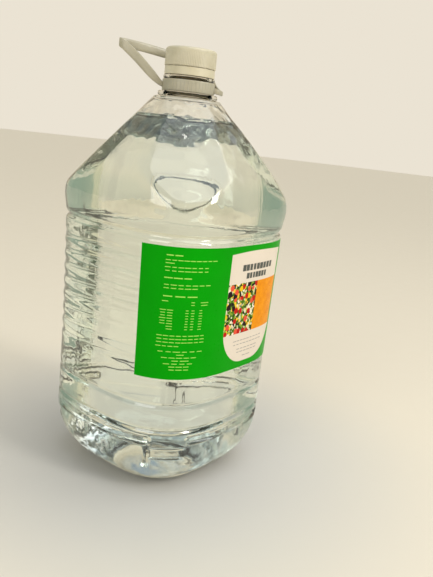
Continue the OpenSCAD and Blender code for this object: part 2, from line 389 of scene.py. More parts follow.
# millimetres over the base, as the maker of the mould would set them out
body = {
    "sides": 240,
    "halfFoot": 75.2,
    "flare": 1.8,
    "squareness": 3.0,
    "standHalf": 40.0,
    "standWidth": 5.0,
    "heelHeight": 46.0,
    "pushUp": 11.0,
    "panelFoot": 95.0,
    "panelHeight": 101.0,
    "bulgeHalf": 78.6,
    "bulgeMiddle": 216.0,
    "domeHeight": 64.0,
    "domeBend": 32.0,
    "facetFoot": 230.0,
    "facetAtFoot": 82.4,
    "facetAtRoot": 26.0,
    "rootHeight": 294.0,
    "facetSharpness": 110,
    "creaseSharpness": 70,
    "bulgeGap": 4.0,  # plain wall between the panel and the bulge
    "roundFrom": 0.62,  # share of the climb where the flats start to turn round
    "roundRate": 2.6,
    "cornerCrowd": 0.1,  # how much closer the points are set at the corners
    "wall": 1.0,
}
grooves = {
    "lowGrooves": [(55.0, 1.7, 1.7), (75.0, 1.5, 1.5)],  # height, depth, half width
    "neckGroove": (199.4, 2.2, 2.0),
    "ribsFoot": 101.0,
    "ribPitch": 11.125,
    "ribCount": 8,
    "ribDepth": 0.85,
    "slotLow": 42.6,
    "slotHigh": 49.2,
    "slotDepth": 2.5,
    "slotEdge": 1.3,
    "blockLeft": -7.0,  # degrees from the corner
    "blockRight": 13.0,
    "blockEdge": 1.2,
    "stemDepth": 2.2,
    "stemWidth": 1.15,
    "stemLow": 23.0,
    "stemHigh": 49.0,
    "stemEdge": 3.0,
    "paneDepth": 1.2,
    "paneLow": 31.0,
    "paneHigh": 40.5,
    "paneEdge": 1.5,
}


def squareShape(angle):
    n = body["squareness"]
    return (np.abs(np.cos(angle)) ** n + np.abs(np.sin(angle)) ** n) ** (-1 / n)


def facetShape(angle):
    turned = (angle + math.pi / 8) % (math.pi / 4) - math.pi / 8
    n = body["facetSharpness"]
    near, far = np.cos(turned), np.cos(math.pi / 4 - np.abs(turned))
    return (near**n + far**n) ** (-1 / n)


def halfWidth(z):
    # half width across the flats, from the stand to the bulge and over it
    heel = body["standHalf"] + (body["halfFoot"] - body["standHalf"]) * np.sqrt(
        np.clip(1 - (1 - z / body["heelHeight"]) ** 2, 0, 1)
    )
    heel = np.where(z >= body["heelHeight"], body["halfFoot"], heel)
    share = np.clip((z - body["panelFoot"]) / body["panelHeight"], 0, 1)
    panel = body["halfFoot"] + body["flare"] * share
    top = body["panelFoot"] + body["panelHeight"]
    swellFoot = top + body["bulgeGap"]
    swell = smoothStep((z - swellFoot) / (body["bulgeMiddle"] - swellFoot))
    bulge = panel + (body["bulgeHalf"] - panel) * swell
    bend = body["domeBend"] / body["domeHeight"]
    over = np.clip((z - body["bulgeMiddle"]) / body["domeHeight"], 0, bend)
    slope = body["bulgeHalf"] * bend / math.sqrt(1 - bend**2) / body["domeHeight"]
    straight = slope * np.maximum(0, z - body["bulgeMiddle"] - body["domeBend"])
    return np.where(z < body["panelFoot"], heel, bulge) * np.sqrt(1 - over**2) - straight


def grooveAt(z, middle, half):
    # 1 in the middle of a groove, falling smoothly to 0
    return np.exp(-(((z - middle) / half) ** 2))


def spanOf(z, low, high, edge):
    # 1 between two heights or angles, easing to 0 at each
    return smoothStep((z - low) / edge) * smoothStep((high - z) / edge)


def details(angle, z):
    # how far grooves, ribs, slots and stems draw the wall in
    corner = np.degrees(angle) % 90 - 45
    inward = np.zeros(np.broadcast(angle, z).shape)
    for middle, depth, half in [*grooves["lowGrooves"], grooves["neckGroove"]]:
        inward = inward + depth * grooveAt(z, middle, half)
    turn = np.clip((z - grooves["ribsFoot"]) / grooves["ribPitch"], 0, grooves["ribCount"])
    inward = inward + grooves["ribDepth"] * (0.5 - 0.5 * np.cos(2 * math.pi * turn))
    left, right, edge = grooves["blockLeft"], grooves["blockRight"], grooves["blockEdge"]
    outside = smoothStep((left - corner) / edge) + smoothStep((corner - right) / edge)
    reach = 1 - 0.75 * smoothStep((np.abs(corner - 3) - 16) / 22)  # shallower along the flats
    slot = spanOf(z, grooves["slotLow"], grooves["slotHigh"], grooves["slotEdge"])
    inward = inward + grooves["slotDepth"] * slot * outside * reach
    onStem = grooveAt(corner, left - 0.6, grooves["stemWidth"])
    stem = spanOf(z, grooves["stemLow"], grooves["stemHigh"], grooves["stemEdge"])
    inward = inward + grooves["stemDepth"] * onStem * stem
    onBlock = spanOf(corner, left + 1, right - 1, 2)
    pane = spanOf(z, grooves["paneLow"], grooves["paneHigh"], grooves["paneEdge"])
    return inward + grooves["paneDepth"] * onBlock * pane


def wallRadius(angle, z):
    # the rounded-square dome cut by the eight flats of the shoulder
    dome = halfWidth(z) * squareShape(angle)
    climb = (z - body["facetFoot"]) / (body["rootHeight"] - body["facetFoot"])
    flats = body["facetAtFoot"] + (body["facetAtRoot"] - body["facetAtFoot"]) * climb
    rounding = smoothStep((climb - body["roundFrom"]) * body["roundRate"])
    facets = flats * (facetShape(angle) * (1 - rounding) + rounding)
    n = body["creaseSharpness"]
    return (dome**-n + facets**-n) ** (-1 / n) - details(angle, z)


def bodyRings():
    # rings of the outer wall from the middle of the base up to the neck's root, in millimetres
    angle = np.linspace(0, 2 * math.pi, body["sides"], endpoint=False)
    angle = angle + body["cornerCrowd"] * np.sin(4 * angle)
    inner = body["standHalf"] - body["standWidth"]
    rings = []
    for share in np.sin(np.linspace(0.06, 0.5, 16) * math.pi):
        half = inner * share
        z = body["pushUp"] * (1 - share**2) ** 1.15
        rings.append(np.stack([half * squareShape(angle), np.full_like(angle, z)], -1))
    for half in np.linspace(inner + 1.2, body["standHalf"], 4):
        rings.append(np.stack([half * squareShape(angle), np.zeros_like(angle)], -1))
    heel = body["heelHeight"] * 0.55 * (1 - np.cos(np.linspace(0.05, 0.5, 20) * math.pi))
    heights = np.concatenate(
        [
            heel,
            np.arange(heel[-1] + 0.9, 60, 0.75),
            np.arange(60, 96, 1.3),
            np.arange(96, 192, 1.75),
            np.arange(192, 206, 0.8),
            np.arange(206, 222, 1.6),
            np.arange(222, 252, 0.9),
            np.arange(252, 289, 1.9),
            np.linspace(289, body["rootHeight"], 5),
        ]
    )
    for z in heights:
        rings.append(np.stack([wallRadius(angle, z), np.full_like(angle, z)], -1))
    return angle, np.array(rings)


def offsetRings(rings, distance):
    # the same wall moved inwards, square to its own slope along each upright line
    run = np.gradient(rings, axis=0)
    run /= np.maximum(np.linalg.norm(run, axis=-1, keepdims=True), 1e-9)
    outward = np.stack([run[..., 1], -run[..., 0]], -1)
    moved = rings - outward * distance
    moved[..., 0] = np.maximum(moved[..., 0], 0.5)
    return moved


def turnRings(rings, angle):
    # (radius, height) rings to points in metres
    r, z = rings[..., 0], rings[..., 1]
    return np.stack([r * np.cos(angle), r * np.sin(angle), z], -1) * mm


def clearPlastic(start):
    place = start.add("ShaderNodeTexCoord", {}, {}, "Object")
    spots = start.add("ShaderNodeSeparateXYZ", {}, {0: place})
    across = spots - Wire(start.tree, spots.socket.node.outputs[1])
    seam = abs(across).ramp(0.0002, 0.0007, 1, 0)  # mould line on two opposite corners
    stretch = start.add("ShaderNodeMapping", {}, {"Vector": place, "Scale": (1, 1, 0.45)})
    waves = start.noise(stretch, 42, 2, 0.42, 0.6)
    up = Wire(start.tree, spots.socket.node.outputs[2])
    ripples = start.noise(place, 64, 1) * up.ramp(0.25, 0.27)  # where the mould is roughest
    grain = start.noise(place, 130, 0)
    height = waves * 0.9 + grain * 0.1 + seam * 0.05 + ripples * 3.2
    return {"Normal": start.bump(height, 0.6, 0.0017)}


bottlePlastic = newMaterial(
    "clear_plastic",
    {
        "Base Color": (0.975, 0.985, 0.98, 1),
        "Roughness": 0.02,
        "IOR": 1.52,
        "Transmission Weight": 1.0,
    },
    clearPlastic,
)
neckPlastic = newMaterial(
    "neck_plastic",
    {
        "Base Color": (0.97, 0.95, 0.91, 1),
        "Roughness": 0.05,
        "IOR": 1.15,
        "Transmission Weight": 1.0,
    },
    lambda start: {},
)

angle, outer = bodyRings()
root = body["rootHeight"]
mouth = bottleHigh.z / mm
# radius and height: flange, barrel, bead and mouth, then down the bore
neckOutline = [
    (25.2, root + 0.5),
    (23.4, root + 0.85),
    (22.0, root + 0.95),
    (22.3, root + 1.15),
    (22.85, root + 1.6),
    (23.0, root + 2.1),
    (23.0, root + 3.6),
    (22.8, root + 4.2),
    (22.3, root + 4.55),
    (21.5, root + 4.6),
    (18.4, root + 4.6),
    (17.75, root + 4.75),
    (17.6, root + 5.2),
    (17.6, root + 9.5),
    (17.6, root + 13.3),
    (17.8, root + 13.75),
    (18.9, root + 13.8),
    (19.55, root + 14.1),
    (19.8, root + 14.7),
    (19.8, root + 15.7),
    (19.55, root + 16.3),
    (18.9, root + 16.6),
    (17.6, root + 16.65),
    (17.3, root + 16.9),
    (17.3, root + 24.0),
    (17.3, mouth - 0.5),
    (17.0, mouth - 0.05),
    (16.6, mouth),
    (16.1, mouth - 0.1),
    (15.9, mouth - 0.5),
    (15.9, root + 18.0),
    (15.9, root + 8.0),
    (16.1, root + 5.0),
    (17.2, root + 2.6),
    (19.6, root + 1.1),
    (22.6, root - 0.1),
]
neck = np.array([[point] * body["sides"] for point in neckOutline], float)
inner = offsetRings(outer, body["wall"])[::-1]
inner = inner[inner[:, 0, 1] < root - 1.2]
shell = turnRings(np.concatenate([outer, neck, inner]), angle)
points, faces = closedLoft(shell, body["pushUp"] * mm, (body["pushUp"] + body["wall"]) * mm)
neckFaces = range((len(outer) - 1) * body["sides"], (len(outer) + len(neck)) * body["sides"])
slots = [1 if i in neckFaces else 0 for i in range(len(faces))]
plastics = [bottlePlastic, neckPlastic]
bottle = makeObject("clear_bottle", points, faces, plastics, sharp=50, faceSlots=slots)
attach(bottle, "filled_bottle")
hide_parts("bottle")
print("bottle", len(faces))


# vinegar
vinegar = {
    "intoWall": 0.5,
    "lip": 0.6,
    # how far in from the wall, and how high it climbs there
    "meniscus": [(0.0, 1.0), (0.6, 1.0), (1.3, 0.75), (2.1, 0.4), (3.2, 0.12), (5.0, 0.0)],
    "tint": (0.92, 0.965, 0.90, 1),
    "tintDensity": 6.0,
}


def vinegarLook(start):
    place = start.add("ShaderNodeTexCoord", {}, {}, "Object")
    ripples = start.noise(place, 30, 1)
    return {"Normal": start.bump(ripples, 0.03, 0.0003)}


vinegarLiquid = newMaterial(
    "vinegar",
    {"Base Color": (1, 1, 1, 1), "Roughness": 0.0, "IOR": 1.335, "Transmission Weight": 1.0},
    vinegarLook,
)
volume = vinegarLiquid.node_tree.nodes.new("ShaderNodeVolumeAbsorption")
volume.inputs["Color"].default_value = vinegar["tint"]
volume.inputs["Density"].default_value = vinegar["tintDensity"]
vinegarLiquid.node_tree.links.new(
    volume.outputs[0],
    next(n for n in vinegarLiquid.node_tree.nodes if n.type == "OUTPUT_MATERIAL").inputs["Volume"],
)

level = vinegarHigh.z / mm
wet = offsetRings(outer, vinegar["intoWall"])
side = wet[wet[:, 0, 1] < level - vinegar["lip"]]
above = wet[wet[:, 0, 1] >= level - vinegar["lip"]][0]
share = (level - side[-1, 0, 1]) / (above[0, 1] - side[-1, 0, 1])
edge = side[-1] + (above - side[-1]) * share
surface = []
for inset, rise in vinegar["meniscus"]:
    ring = edge.copy()
    ring[:, 0] -= inset
    ring[:, 1] = level + rise
    surface.append(ring)
for share in (0.75, 0.5, 0.25, 0.08):
    ring = edge.copy()
    ring[:, 0] = (ring[:, 0] - vinegar["meniscus"][-1][0]) * share
    ring[:, 1] = level
    surface.append(ring)
liquid = turnRings(np.concatenate([side, surface]), angle)
bottomZ = (body["pushUp"] + vinegar["intoWall"]) * mm
points, faces = closedLoft(liquid, bottomZ, level * mm)
drink = makeObject("vinegar_fill", points, faces, [vinegarLiquid], sharp=50)
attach(drink, "filled_bottle")
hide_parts("vinegar")
print("vinegar", len(faces))


# label
label = {
    "left": -153.2,
    "right": -9.5,
    "slant": 1.3,
    "foot": labelLow.z / mm + 0.2,
    "rise": 1.6,
    "height": labelHigh.z / mm - labelLow.z / mm - 1.9,
    "clear": 0.14,
    "film": 0.12,
    "columns": 180,
    "rows": 56,
    "length": 211.0,
    "whiteHalf": 35.5,
    "whiteFoot": 5.0,
    "whiteTop": 93.2,
    "whiteRound": 29.0,
    "archFall": 0.0012,
    "bandFoot": 29.0,
    "bandTop": 69.0,
    "bandSplit": 108.5,  # where the chopped things end and the orange starts
    "inkLift": 0.045,
}


# chopped things in the picture: where each one's share starts, and its colour
shreds = [
    (0.0, sRGB(70, 112, 26)),
    (0.26, sRGB(214, 206, 168)),
    (0.42, sRGB(40, 62, 18)),
    (0.56, sRGB(232, 196, 56)),
    (0.68, sRGB(128, 160, 50)),
    (0.8, sRGB(238, 228, 206)),
    (0.9, sRGB(34, 24, 22)),
]
slices = [
    (0.0, sRGB(186, 22, 16)),
    (0.25, sRGB(38, 20, 24)),
    (0.52, sRGB(222, 84, 60)),
    (0.7, sRGB(236, 190, 20)),
    (0.84, sRGB(232, 220, 196)),
]


def onLabel(u, v, lift):
    # a point of the label's face, by its share along and up, lift millimetres off the film
    left = label["left"] + label["slant"] * (0.5 - v) * (1 - u)
    turn = np.radians(left + (label["right"] - left) * u)
    z = label["foot"] + label["rise"] * u + label["height"] * v
    share = np.clip((z - body["panelFoot"]) / body["panelHeight"], 0, 1)
    half = body["halfFoot"] + body["flare"] * share
    wave = 0.10 * np.sin(u * 23 + v * 5) * np.sin(v * 9 + 1) + 0.05 * np.sin(u * 61 + v * 17)
    r = half * squareShape(turn) + label["clear"] + label["film"] + wave * 0.6 + lift
    return np.stack([r * np.cos(turn), r * np.sin(turn), z], -1) * mm


def labelPrint(start):
    place = start.add("ShaderNodeTexCoord", {}, {}, "UV")
    parts = start.add("ShaderNodeSeparateXYZ", {}, {0: place})
    along = parts * label["length"]
    up = Wire(start.tree, parts.socket.node.outputs[1]) * label["height"]
    away = abs(along - label["length"] / 2)
    low = label["whiteFoot"] + label["whiteRound"]
    overX = start.maths("MAXIMUM", away - (label["whiteHalf"] - label["whiteRound"]), 0.0)
    overY = start.maths("MAXIMUM", low - up, 0.0)
    edge = (overX * overX + overY * overY) ** 0.5
    arch = label["whiteTop"] - away * away * label["archFall"]
    white = edge.ramp(label["whiteRound"] - 0.15, label["whiteRound"] + 0.15, 1, 0)
    white = white * (up - arch).ramp(-0.15, 0.15, 1, 0)
    flat = start.add("ShaderNodeCombineXYZ", {}, {"X": along, "Y": up})
    shade = start.noise(flat, 0.035, 3)
    green = shade.blend(sRGB(0, 142, 0), sRGB(0, 160, 2))
    paper = shade.blend(sRGB(216, 204, 190), sRGB(228, 218, 206))

    def scraps(scale, stops):
        # cells of chopped things: how far from each one's middle, and its colour
        cell = start.add(
            "ShaderNodeTexVoronoi", {}, {"Vector": flat, "Scale": scale, "Randomness": 1.0}
        )
        colours = Wire(start.tree, cell.socket.node.outputs["Color"])
        pick = start.add("ShaderNodeSeparateColor", {}, {0: colours})
        steps = {"interpolation": "CONSTANT", "stops": stops}
        return cell, start.add("ShaderNodeValToRGB", steps, {"Fac": pick})

    small = scraps(0.5, shreds)[1]
    middle, large = scraps(0.17, slices)
    salad = middle.ramp(0.4, 0.46, 1, 0).blend(small, large)
    fibres = start.noise(flat, 0.16, 4, 0.6)
    orange = fibres.blend(sRGB(206, 104, 0), sRGB(250, 172, 6))
    food = (along - label["bandSplit"]).ramp(-0.3, 0.3).blend(salad, orange)
    inBand = up.between(label["bandFoot"], label["bandTop"], 0.15) * white
    inside = white.blend(green, paper)
    colour = inBand.blend(inside, food)
    sheen = start.noise(flat, 0.5, 2)
    return {
        "Base Color": colour,
        "Roughness": sheen.ramp(0.2, 0.8, 0.26, 0.36),
        "Normal": start.bump(start.noise(flat, 0.07, 2), 0.18, 0.0006),
    }


def backPaper(start):
    place = start.add("ShaderNodeTexCoord", {}, {}, "Object")
    cloudy = start.noise(place, 120, 3)
    return {"Base Color": cloudy.blend(sRGB(218, 238, 208), sRGB(232, 246, 224))}


labelFace = newMaterial("label_print", {"IOR": 1.3, "Specular IOR Level": 0.15}, labelPrint)
labelBack = newMaterial("label_back", {"Roughness": 0.5}, backPaper)

gridU, gridV = np.meshgrid(
    np.linspace(0, 1, label["columns"]), np.linspace(0, 1, label["rows"]), indexing="ij"
)
front = onLabel(gridU, gridV, 0.0).reshape(-1, 3)
back = onLabel(gridU, gridV, -label["film"]).reshape(-1, 3)
columns, rows = label["columns"], label["rows"]
corner = np.arange(columns * rows).reshape(columns, rows)
a, b = corner[:-1, :-1].ravel(), corner[1:, :-1].ravel()
c, d = corner[1:, 1:].ravel(), corner[:-1, 1:].ravel()
count = columns * rows
faces = np.stack([a, b, c, d], 1).tolist() + (np.stack([d, c, b, a], 1) + count).tolist()
rim = [*corner[:, 0], *corner[-1, 1:], *corner[-2::-1, -1], *corner[0, -2:0:-1]]
for i, one in enumerate(rim):
    two = rim[(i + 1) % len(rim)]
    faces.append([int(two), int(one), int(one) + count, int(two) + count])
slots = [0] * len(a) + [1] * (len(faces) - len(a))
uvs = np.tile(np.stack([gridU.ravel(), gridV.ravel()], 1), (2, 1))
sticker = makeObject(
    "wrap_label",
    np.concatenate([front, back]),
    faces,
    [labelFace, labelBack],
    uvs,
    sharp=40,
    faceSlots=slots,
)
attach(sticker, "filled_bottle")
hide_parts("label")
print("label", len(faces))


# print on the label
def inkLook(low, high):
    def look(start):
        place = start.add("ShaderNodeTexCoord", {}, {}, "Object")
        return {"Base Color": start.noise(place, 900, 2).blend(low, high)}

    return look


paleInk = newMaterial("pale_ink", {"Roughness": 0.4}, inkLook(sRGB(130, 208, 60), sRGB(186, 234, 110)))
darkInk = newMaterial("dark_ink", {"Roughness": 0.4}, inkLook(sRGB(44, 50, 44), sRGB(84, 88, 84)))
greyInk = newMaterial("grey_ink", {"Roughness": 0.4}, inkLook(sRGB(138, 134, 130), sRGB(168, 164, 160)))

# left and top in millimetres on the label, rows, pitch, length, bars in a row, bar height,
# share left out, seed, ink
printed = [
    (17.6, 91.6, 1, 2.0, 12.0, 2, 0.75, 0.0, 3, paleInk),
    (17.4, 88.2, 1, 2.0, 38.0, 9, 0.55, 0.0, 4, paleInk),
    (17.4, 86.0, 1, 2.0, 7.0, 1, 0.55, 0.0, 5, paleInk),
    (17.2, 83.2, 2, 2.6, 32.0, 7, 0.55, 0.0, 6, paleInk),
    (17.2, 75.6, 1, 2.0, 20.0, 3, 0.75, 0.0, 7, paleInk),
    (17.0, 70.6, 1, 2.0, 35.0, 7, 0.55, 0.0, 8, paleInk),
    (17.0, 68.2, 1, 2.0, 25.0, 5, 0.55, 0.0, 9, paleInk),
    (16.6, 62.4, 1, 2.0, 26.0, 3, 0.75, 0.0, 10, paleInk),
    (16.4, 58.8, 1, 2.0, 6.0, 1, 0.55, 0.0, 11, paleInk),
    (37.4, 58.4, 2, 2.0, 3.4, 1, 0.5, 0.0, 12, paleInk),
    (44.4, 58.2, 2, 2.0, 7.0, 1, 0.5, 0.0, 13, paleInk),
    (15.8, 52.4, 8, 2.0, 10.0, 2, 0.5, 0.28, 14, paleInk),
    (34.0, 52.4, 8, 2.0, 2.6, 1, 0.5, 0.0, 15, paleInk),
    (38.0, 52.4, 8, 2.0, 3.0, 1, 0.5, 0.1, 16, paleInk),
    (44.0, 52.4, 8, 2.0, 3.2, 1, 0.5, 0.0, 17, paleInk),
    (14.8, 33.4, 3, 2.5, 36.0, 8, 0.55, 0.0, 18, paleInk),
    (14.6, 25.6, 1, 2.0, 17.0, 4, 0.55, 0.0, 19, paleInk),
    (15.6, 21.4, 1, 2.0, 35.0, 6, 0.55, 0.0, 20, paleInk),
    (29.4, 19.1, 1, 2.0, 7.0, 1, 0.55, 0.0, 21, paleInk),
    (19.0, 16.8, 1, 2.0, 27.0, 5, 0.55, 0.0, 22, paleInk),
    (26.0, 14.5, 1, 2.0, 14.0, 2, 0.55, 0.0, 23, paleInk),
    (20.6, 12.2, 1, 2.0, 23.0, 4, 0.55, 0.0, 24, paleInk),
    (24.8, 9.9, 1, 2.0, 16.0, 3, 0.55, 0.0, 25, paleInk),
    (24.8, 7.6, 1, 2.0, 16.0, 3, 0.55, 0.0, 26, paleInk),
    (84.6, 80.6, 1, 2.0, 43.0, 9, 4.8, 0.0, 31, darkInk),
    (91.0, 74.2, 1, 2.0, 29.0, 7, 4.4, 0.0, 32, darkInk),
    (84.0, 22.8, 2, 3.0, 42.0, 9, 0.6, 0.0, 33, greyInk),
    (90.0, 15.8, 2, 2.6, 30.0, 6, 0.6, 0.0, 34, greyInk),
    (99.0, 9.4, 1, 2.0, 12.0, 2, 0.6, 0.0, 35, greyInk),
    (158.0, 88.0, 2, 3.0, 34.0, 6, 0.75, 0.0, 41, paleInk),
    (158.0, 78.0, 12, 2.5, 36.0, 8, 0.55, 0.12, 42, paleInk),
    (158.0, 42.0, 9, 2.5, 36.0, 7, 0.55, 0.15, 43, paleInk),
]
rowsOfPrint = printTree()
allPoints, allFaces, allInks = [], [], []
inks = [paleInk, darkInk, greyInk]
for left, top, lines, pitch, length, bars, height, missing, seed, ink in printed:
    blank = makeObject("print_block", [(0, 0, 0)], [], [])
    applyTree(
        blank,
        rowsOfPrint,
        {
            "Rows": lines,
            "Pitch": pitch * mm,
            "Length": length * mm,
            "Bars": bars,
            "Bar height": height * mm,
            "Missing": missing,
            "Seed": seed,
            "Material": ink,
        },
    )
    mesh = blank.data
    flat = np.array([v.co[:2] for v in mesh.vertices], float) / mm
    if len(flat):
        flat += [left + length / bars / 2, top]
        u, v = flat[:, 0] / label["length"], flat[:, 1] / label["height"]
        start = sum(len(p) for p in allPoints)
        allPoints.append(onLabel(u, v, label["inkLift"]))
        allFaces += [[start + i for i in p.vertices] for p in mesh.polygons]
        allInks += [inks.index(ink)] * len(mesh.polygons)
    bpy.data.objects.remove(blank)

prints = makeObject("label_text_bars", np.concatenate(allPoints), allFaces, inks, faceSlots=allInks)
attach(prints, "filled_bottle")
print("print on the label", len(allFaces))


# cap and tamper band
def milkyLook(low, high, scale):
    def look(start):
        place = start.add("ShaderNodeTexCoord", {}, {}, "Object")
        cloudy = start.noise(place, scale, 4, 0.6)
        speck = start.noise(place, scale * 14, 2)
        return {
            "Base Color": cloudy.ramp(0.3, 0.7).blend(low, high),
            "Roughness": speck.ramp(0.2, 0.8, 0.28, 0.42),
            "Normal": start.bump(speck, 0.12, 0.0002),
        }

    return look


milky = {
    "Subsurface Weight": 0.2,
    "Subsurface Radius": (1.0, 0.9, 0.65),
    "Subsurface Scale": 0.002,
    "IOR": 1.49,
    "Coat Weight": 0.12,
    "Coat Roughness": 0.25,
}
capPlastic = newMaterial("cap_plastic", milky, milkyLook(sRGB(197, 190, 165), sRGB(211, 204, 181), 70))
handlePlastic = newMaterial(
    "handle_plastic", milky, milkyLook(sRGB(164, 159, 140), sRGB(180, 175, 156), 60)
)

cap = {
    "radius": 19.4,
    "bore": 17.6,
    "round": 2.6,
    "top": 1.6,
    "dome": 0.25,
    "pin": 0.4,  # radius of the small disc that closes the middle
    "sides": 192,
    "ribs": 96,
    "ribRadius": 19.34,
    "ribDepth": 0.34,
    "ribWidth": 0.8,
}
low, high = capLow.z / mm, capHigh.z / mm
skirt = high - cap["round"]
outline = [(cap["bore"], low), (cap["radius"] - 0.25, low), (cap["radius"], low + 0.4)]
outline += [(cap["radius"], z) for z in np.linspace(low + 1.2, skirt, 8)]
for turn in np.radians(np.arange(10, 91, 10)):
    outline.append(
        (
            cap["radius"] - cap["round"] * (1 - math.cos(turn)),
            skirt + (cap["round"] - cap["dome"]) * math.sin(turn),
        )
    )
for r in (14.0, 12.6, 12.2, 11.8, 8.0, 4.0, cap["pin"]):
    sunk = 0.12 if 12.0 < r < 12.4 else 0.0
    outline.append((r, high - cap["dome"] * (r / 17) ** 2 - sunk))
outline += [(cap["pin"], high - cap["top"]), (cap["bore"] - 0.8, high - cap["top"])]
outline += [(cap["bore"], high - cap["top"] - 0.8)]
sides = cap["sides"]
points, faces = lathe(np.array(outline) * mm, sides)
# a disc above and one below in place of the wall of the pin hole
row = [r for r, z in outline].index(cap["pin"]) * sides
faces[row : row + sides] = []
faces += [list(range(row, row + sides)), list(range(row + sides, row + 2 * sides))[::-1]]
closer = makeObject("screw_cap", points, faces, [capPlastic], sharp=45)
ribsRound = ribTree()
applyTree(
    closer,
    ribsRound,
    {
        "Count": cap["ribs"],
        "Radius": cap["ribRadius"] * mm,
        "Rib depth": cap["ribDepth"] * mm,
        "Rib width": cap["ribWidth"] * mm,
        "Rib height": (skirt - low + 0.4) * mm,
        "Rib top": 0.5,
        "Middle": (low + skirt + 0.9) / 2 * mm,
        "Material": capPlastic,
    },
)
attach(closer, "filled_bottle")
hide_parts("cap")
print("cap", len(closer.data.polygons))

tamperBand = {
    "bore": 17.62,
    "footRadius": 19.3,
    "radius": 19.34,
    "topRadius": 19.2,
    "round": 0.3,
    "bridges": 14,
    "bridgeRadius": 18.7,
    "bridgeDepth": 0.45,
    "bridgeSize": 0.9,
}
low, high = bandLow.z / mm, bandHigh.z / mm
outline = roundCorners(
    [
        (tamperBand["bore"], low),
        (tamperBand["footRadius"], low),
        (tamperBand["radius"], low + 1.2),
        (tamperBand["topRadius"], high - 0.9),
        (tamperBand["topRadius"], high),
        (tamperBand["bore"], high),
    ],
    tamperBand["round"],
)
points, faces = lathe(np.array(outline) * mm, 144)
band = makeObject("tamper_ring", points, faces, [capPlastic], sharp=60)
applyTree(
    band,
    ribsRound,
    {
        "Count": tamperBand["bridges"],
        "Radius": tamperBand["bridgeRadius"] * mm,
        "Rib depth": tamperBand["bridgeDepth"] * mm,
        "Rib width": tamperBand["bridgeSize"] * mm,
        "Rib height": tamperBand["bridgeSize"] * mm,
        "Rib top": 1.0,
        "Middle": (high + capLow.z / mm) / 2 * mm,
        "Material": capPlastic,
    },
)
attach(band, "filled_bottle")
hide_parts("tamper_band")
print("tamper band", len(band.data.polygons))


# handle
handle = {
    "turn": -49.0,
    "bore": 17.72,
    "ringRadius": 20.12,
    "ringHeight": 8.6,
    "ringRound": 0.5,
    "ribs": 44,
    "ribRadius": 20.06,
    "ribDepth": 0.2,
    "ribWidth": 1.1,
    "strapThick": 1.75,
    "strapHalf": 0.485,  # of the width given along the path
    "fullness": 5.0,  # how square the strap's section is
    "steps": 12,
    "around": 16,
    # middle line of the strap: x, y, height over the ring's foot, width
    "path": [
        (-18.7, -3.4, 3.8, 3.6),
        (-22.5, -4.6, 5.6, 4.4),
        (-29, -5, 11, 6.4),
        (-40, -4.4, 21, 7),
        (-49.5, -3.6, 28.4, 6.8),
        (-53.6, -1.6, 31, 6.6),
        (-54, 1.4, 31.4, 6.8),
        (-50.4, 4.2, 31.4, 7),
        (-38, 9, 30.4, 7),
        (-25, 16, 29, 7),
        (-13, 21.6, 27.2, 6.8),
        (-2, 24, 24.4, 6.4),
        (8.5, 22.8, 19.6, 6),
        (17.2, 17.6, 12, 5.2),
        (22, 11.2, 5.6, 4.4),
        (25.4, 5, 2.8, 3.8),
        (26, 0.6, 2.4, 3.6),
        (23, -2.6, 3, 4),
        (18.5, -3.2, 3.8, 4.4),
    ],
}


def splinePoints(path, steps):
    path = np.array(path, float)
    padded = np.concatenate([path[:1], path, path[-1:]])
    made = []
    for i in range(len(path) - 1):
        a, b, c, d = padded[i : i + 4]
        for t in np.linspace(0, 1, steps, endpoint=False):
            made.append(
                0.5
                * (
                    2 * b
                    + (c - a) * t
                    + (2 * a - 5 * b + 4 * c - d) * t**2
                    + (3 * b - a - 3 * c + d) * t**3
                )
            )
    return np.array([*made, path[-1]])


line = splinePoints(handle["path"], handle["steps"])
run = np.gradient(line[:, :3], axis=0)
along = run / np.linalg.norm(run, axis=1, keepdims=True)
flat = np.cross(along, [0, 0, 1])
thick = flat / np.linalg.norm(flat, axis=1, keepdims=True)
wide = np.cross(thick, along)
roundAngle = np.linspace(0, 2 * math.pi, handle["around"], endpoint=False)
n = handle["fullness"]
section = (np.abs(np.cos(roundAngle)) ** n + np.abs(np.sin(roundAngle)) ** n) ** (-1 / n)
acrossX = np.cos(roundAngle) * section * handle["strapThick"] / 2
acrossY = np.sin(roundAngle) * section * handle["strapHalf"]
strap = (
    line[:, None, :3]
    + thick[:, None, :] * acrossX[None, :, None]
    + wide[:, None, :] * (acrossY[None, :] * line[:, 3:4])[:, :, None]
)
turn = math.radians(handle["turn"])
spin = np.array([[math.cos(turn), -math.sin(turn), 0], [math.sin(turn), math.cos(turn), 0], [0, 0, 1]])
strap = strap @ spin.T
foot = handleLow.z / mm
strap[..., 2] += foot
rowsOfStrap, around = strap.shape[:2]
strapFaces = tubeFaces(rowsOfStrap, around)
strapFaces.append(list(range(around))[::-1])
strapFaces.append([(rowsOfStrap - 1) * around + k for k in range(around)])
outline = roundCorners(
    [
        (handle["bore"], foot),
        (handle["ringRadius"], foot),
        (handle["ringRadius"], foot + handle["ringHeight"]),
        (handle["bore"], foot + handle["ringHeight"]),
    ],
    handle["ringRound"],
)
ringPoints, ringFaces = lathe(np.array(outline) * mm, 144)
strapFaces = [[i + len(ringPoints) for i in f] for f in strapFaces]
carrier = makeObject(
    "carrying_handle",
    np.concatenate([ringPoints, strap.reshape(-1, 3) * mm]),
    ringFaces + strapFaces,
    [handlePlastic],
    sharp=50,
)
